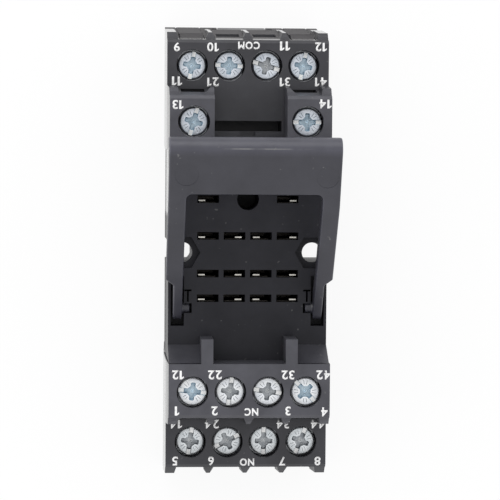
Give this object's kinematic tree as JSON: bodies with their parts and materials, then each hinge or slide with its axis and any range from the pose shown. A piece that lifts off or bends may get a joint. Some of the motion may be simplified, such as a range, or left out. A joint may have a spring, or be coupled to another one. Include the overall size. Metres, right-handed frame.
{
  "type": "relay socket",
  "caption": "Black screw-terminal relay socket with two stepped tiers of terminals at each end, a slotted relay face, a hinged retaining clip and a sprung latch for a top-hat rail.",
  "frame": {"origin": "middle of the back, on the plane of the feet", "axes": "+X across the socket, +Y towards the common and coil terminals, +Z out of the relay face"},
  "size_m": [0.0274, 0.0768, 0.0407],
  "materials": {
    "housing_plastic": "black moulded, fine grain",
    "cover_plastic": "black moulded, fine grain",
    "latch_plastic": "black moulded, satin",
    "clip_plastic": "dark grey moulded, satin",
    "spring_steel": "bright drawn",
    "contact_metal": "tinned",
    "clamp_metal": "zinc plated",
    "screw_metal": "zinc plated, blue passivated"
  },
  "bodies": {
    "socket": {"housing": "housing_plastic", "rear_cover": "cover_plastic", "latch_spring": "spring_steel", "contact_1": "contact_metal", "contact_2": "contact_metal", "contact_3": "contact_metal", "contact_4": "contact_metal", "contact_5": "contact_metal", "contact_6": "contact_metal", "contact_7": "contact_metal", "contact_8": "contact_metal", "contact_9": "contact_metal", "contact_10": "contact_metal", "contact_11": "contact_metal", "contact_12": "contact_metal", "contact_13": "contact_metal", "contact_14": "contact_metal"},
    "clip": {"retaining_clip": "clip_plastic"},
    "latch": {"rail_latch": "latch_plastic"},
    "clamp_1": {"clamp_plate_1": "clamp_metal"},
    "screw_1": {"terminal_screw_1": "screw_metal"},
    "clamp_2": {"clamp_plate_2": "clamp_metal"},
    "screw_2": {"terminal_screw_2": "screw_metal"},
    "clamp_3": {"clamp_plate_3": "clamp_metal"},
    "screw_3": {"terminal_screw_3": "screw_metal"},
    "clamp_4": {"clamp_plate_4": "clamp_metal"},
    "screw_4": {"terminal_screw_4": "screw_metal"},
    "clamp_5": {"clamp_plate_5": "clamp_metal"},
    "screw_5": {"terminal_screw_5": "screw_metal"},
    "clamp_6": {"clamp_plate_6": "clamp_metal"},
    "screw_6": {"terminal_screw_6": "screw_metal"},
    "clamp_7": {"clamp_plate_7": "clamp_metal"},
    "screw_7": {"terminal_screw_7": "screw_metal"},
    "clamp_8": {"clamp_plate_8": "clamp_metal"},
    "screw_8": {"terminal_screw_8": "screw_metal"},
    "clamp_9": {"clamp_plate_9": "clamp_metal"},
    "screw_9": {"terminal_screw_9": "screw_metal"},
    "clamp_10": {"clamp_plate_10": "clamp_metal"},
    "screw_10": {"terminal_screw_10": "screw_metal"},
    "clamp_11": {"clamp_plate_11": "clamp_metal"},
    "screw_11": {"terminal_screw_11": "screw_metal"},
    "clamp_12": {"clamp_plate_12": "clamp_metal"},
    "screw_12": {"terminal_screw_12": "screw_metal"},
    "clamp_13": {"clamp_plate_13": "clamp_metal"},
    "screw_13": {"terminal_screw_13": "screw_metal"},
    "clamp_14": {"clamp_plate_14": "clamp_metal"},
    "screw_14": {"terminal_screw_14": "screw_metal"}
  },
  "joints": [
    {"name": "clip_hinge", "type": "hinge", "parent": "socket", "child": "clip", "pos_m": [0, -0.0088, 0.0205], "axis": [1, 0, 0], "range_deg": [-13, 70]},
    {"name": "latch_slide", "type": "slide", "parent": "socket", "child": "latch", "axis": [0, 1, 0], "range_m": [0, 0.0022], "stiffness_N_per_m": 1500, "springref_m": -0.0015, "deforming": ["latch_spring"]},
    {"name": "clamp_slide_1", "type": "slide", "parent": "socket", "child": "clamp_1", "axis": [0, 0, 1], "range_m": [-0.0023, 0]},
    {"name": "screw_turn_1", "type": "hinge", "parent": "clamp_1", "child": "screw_1", "pos_m": [-0.00928, -0.0221, 0.026], "axis": [0, 0, 1], "range_deg": [-1657, 0]},
    {"name": "clamp_slide_2", "type": "slide", "parent": "socket", "child": "clamp_2", "axis": [0, 0, 1], "range_m": [-0.0023, 0]},
    {"name": "screw_turn_2", "type": "hinge", "parent": "clamp_2", "child": "screw_2", "pos_m": [-0.0031, -0.0221, 0.026], "axis": [0, 0, 1], "range_deg": [-1657, 0]},
    {"name": "clamp_slide_3", "type": "slide", "parent": "socket", "child": "clamp_3", "axis": [0, 0, 1], "range_m": [-0.0023, 0]},
    {"name": "screw_turn_3", "type": "hinge", "parent": "clamp_3", "child": "screw_3", "pos_m": [0.0031, -0.0221, 0.026], "axis": [0, 0, 1], "range_deg": [-1657, 0]},
    {"name": "clamp_slide_4", "type": "slide", "parent": "socket", "child": "clamp_4", "axis": [0, 0, 1], "range_m": [-0.0023, 0]},
    {"name": "screw_turn_4", "type": "hinge", "parent": "clamp_4", "child": "screw_4", "pos_m": [0.00928, -0.0221, 0.026], "axis": [0, 0, 1], "range_deg": [-1657, 0]},
    {"name": "clamp_slide_5", "type": "slide", "parent": "socket", "child": "clamp_5", "axis": [0, 0, 1], "range_m": [-0.0023, 0]},
    {"name": "screw_turn_5", "type": "hinge", "parent": "clamp_5", "child": "screw_5", "pos_m": [-0.00928, -0.03142, 0.018], "axis": [0, 0, 1], "range_deg": [-1657, 0]},
    {"name": "clamp_slide_6", "type": "slide", "parent": "socket", "child": "clamp_6", "axis": [0, 0, 1], "range_m": [-0.0023, 0]},
    {"name": "screw_turn_6", "type": "hinge", "parent": "clamp_6", "child": "screw_6", "pos_m": [-0.0031, -0.03142, 0.018], "axis": [0, 0, 1], "range_deg": [-1657, 0]},
    {"name": "clamp_slide_7", "type": "slide", "parent": "socket", "child": "clamp_7", "axis": [0, 0, 1], "range_m": [-0.0023, 0]},
    {"name": "screw_turn_7", "type": "hinge", "parent": "clamp_7", "child": "screw_7", "pos_m": [0.0031, -0.03142, 0.018], "axis": [0, 0, 1], "range_deg": [-1657, 0]},
    {"name": "clamp_slide_8", "type": "slide", "parent": "socket", "child": "clamp_8", "axis": [0, 0, 1], "range_m": [-0.0023, 0]},
    {"name": "screw_turn_8", "type": "hinge", "parent": "clamp_8", "child": "screw_8", "pos_m": [0.00928, -0.03142, 0.018], "axis": [0, 0, 1], "range_deg": [-1657, 0]},
    {"name": "clamp_slide_9", "type": "slide", "parent": "socket", "child": "clamp_9", "axis": [0, 0, 1], "range_m": [-0.0023, 0]},
    {"name": "screw_turn_9", "type": "hinge", "parent": "clamp_9", "child": "screw_9", "pos_m": [-0.00928, 0.03142, 0.018], "axis": [0, 0, 1], "range_deg": [-1657, 0]},
    {"name": "clamp_slide_10", "type": "slide", "parent": "socket", "child": "clamp_10", "axis": [0, 0, 1], "range_m": [-0.0023, 0]},
    {"name": "screw_turn_10", "type": "hinge", "parent": "clamp_10", "child": "screw_10", "pos_m": [-0.0031, 0.03142, 0.018], "axis": [0, 0, 1], "range_deg": [-1657, 0]},
    {"name": "clamp_slide_11", "type": "slide", "parent": "socket", "child": "clamp_11", "axis": [0, 0, 1], "range_m": [-0.0023, 0]},
    {"name": "screw_turn_11", "type": "hinge", "parent": "clamp_11", "child": "screw_11", "pos_m": [0.0031, 0.03142, 0.018], "axis": [0, 0, 1], "range_deg": [-1657, 0]},
    {"name": "clamp_slide_12", "type": "slide", "parent": "socket", "child": "clamp_12", "axis": [0, 0, 1], "range_m": [-0.0023, 0]},
    {"name": "screw_turn_12", "type": "hinge", "parent": "clamp_12", "child": "screw_12", "pos_m": [0.00928, 0.03142, 0.018], "axis": [0, 0, 1], "range_deg": [-1657, 0]},
    {"name": "clamp_slide_13", "type": "slide", "parent": "socket", "child": "clamp_13", "axis": [0, 0, 1], "range_m": [-0.0023, 0]},
    {"name": "screw_turn_13", "type": "hinge", "parent": "clamp_13", "child": "screw_13", "pos_m": [-0.00928, 0.0221, 0.026], "axis": [0, 0, 1], "range_deg": [-1657, 0]},
    {"name": "clamp_slide_14", "type": "slide", "parent": "socket", "child": "clamp_14", "axis": [0, 0, 1], "range_m": [-0.0023, 0]},
    {"name": "screw_turn_14", "type": "hinge", "parent": "clamp_14", "child": "screw_14", "pos_m": [0.00928, 0.0221, 0.026], "axis": [0, 0, 1], "range_deg": [-1657, 0]}
  ],
  "couplings": [
    {"joint": "screw_turn_1", "follows": "clamp_slide_1", "rad_per_m": 12566},
    {"joint": "screw_turn_2", "follows": "clamp_slide_2", "rad_per_m": 12566},
    {"joint": "screw_turn_3", "follows": "clamp_slide_3", "rad_per_m": 12566},
    {"joint": "screw_turn_4", "follows": "clamp_slide_4", "rad_per_m": 12566},
    {"joint": "screw_turn_5", "follows": "clamp_slide_5", "rad_per_m": 12566},
    {"joint": "screw_turn_6", "follows": "clamp_slide_6", "rad_per_m": 12566},
    {"joint": "screw_turn_7", "follows": "clamp_slide_7", "rad_per_m": 12566},
    {"joint": "screw_turn_8", "follows": "clamp_slide_8", "rad_per_m": 12566},
    {"joint": "screw_turn_9", "follows": "clamp_slide_9", "rad_per_m": 12566},
    {"joint": "screw_turn_10", "follows": "clamp_slide_10", "rad_per_m": 12566},
    {"joint": "screw_turn_11", "follows": "clamp_slide_11", "rad_per_m": 12566},
    {"joint": "screw_turn_12", "follows": "clamp_slide_12", "rad_per_m": 12566},
    {"joint": "screw_turn_13", "follows": "clamp_slide_13", "rad_per_m": 12566},
    {"joint": "screw_turn_14", "follows": "clamp_slide_14", "rad_per_m": 12566}
  ]
}
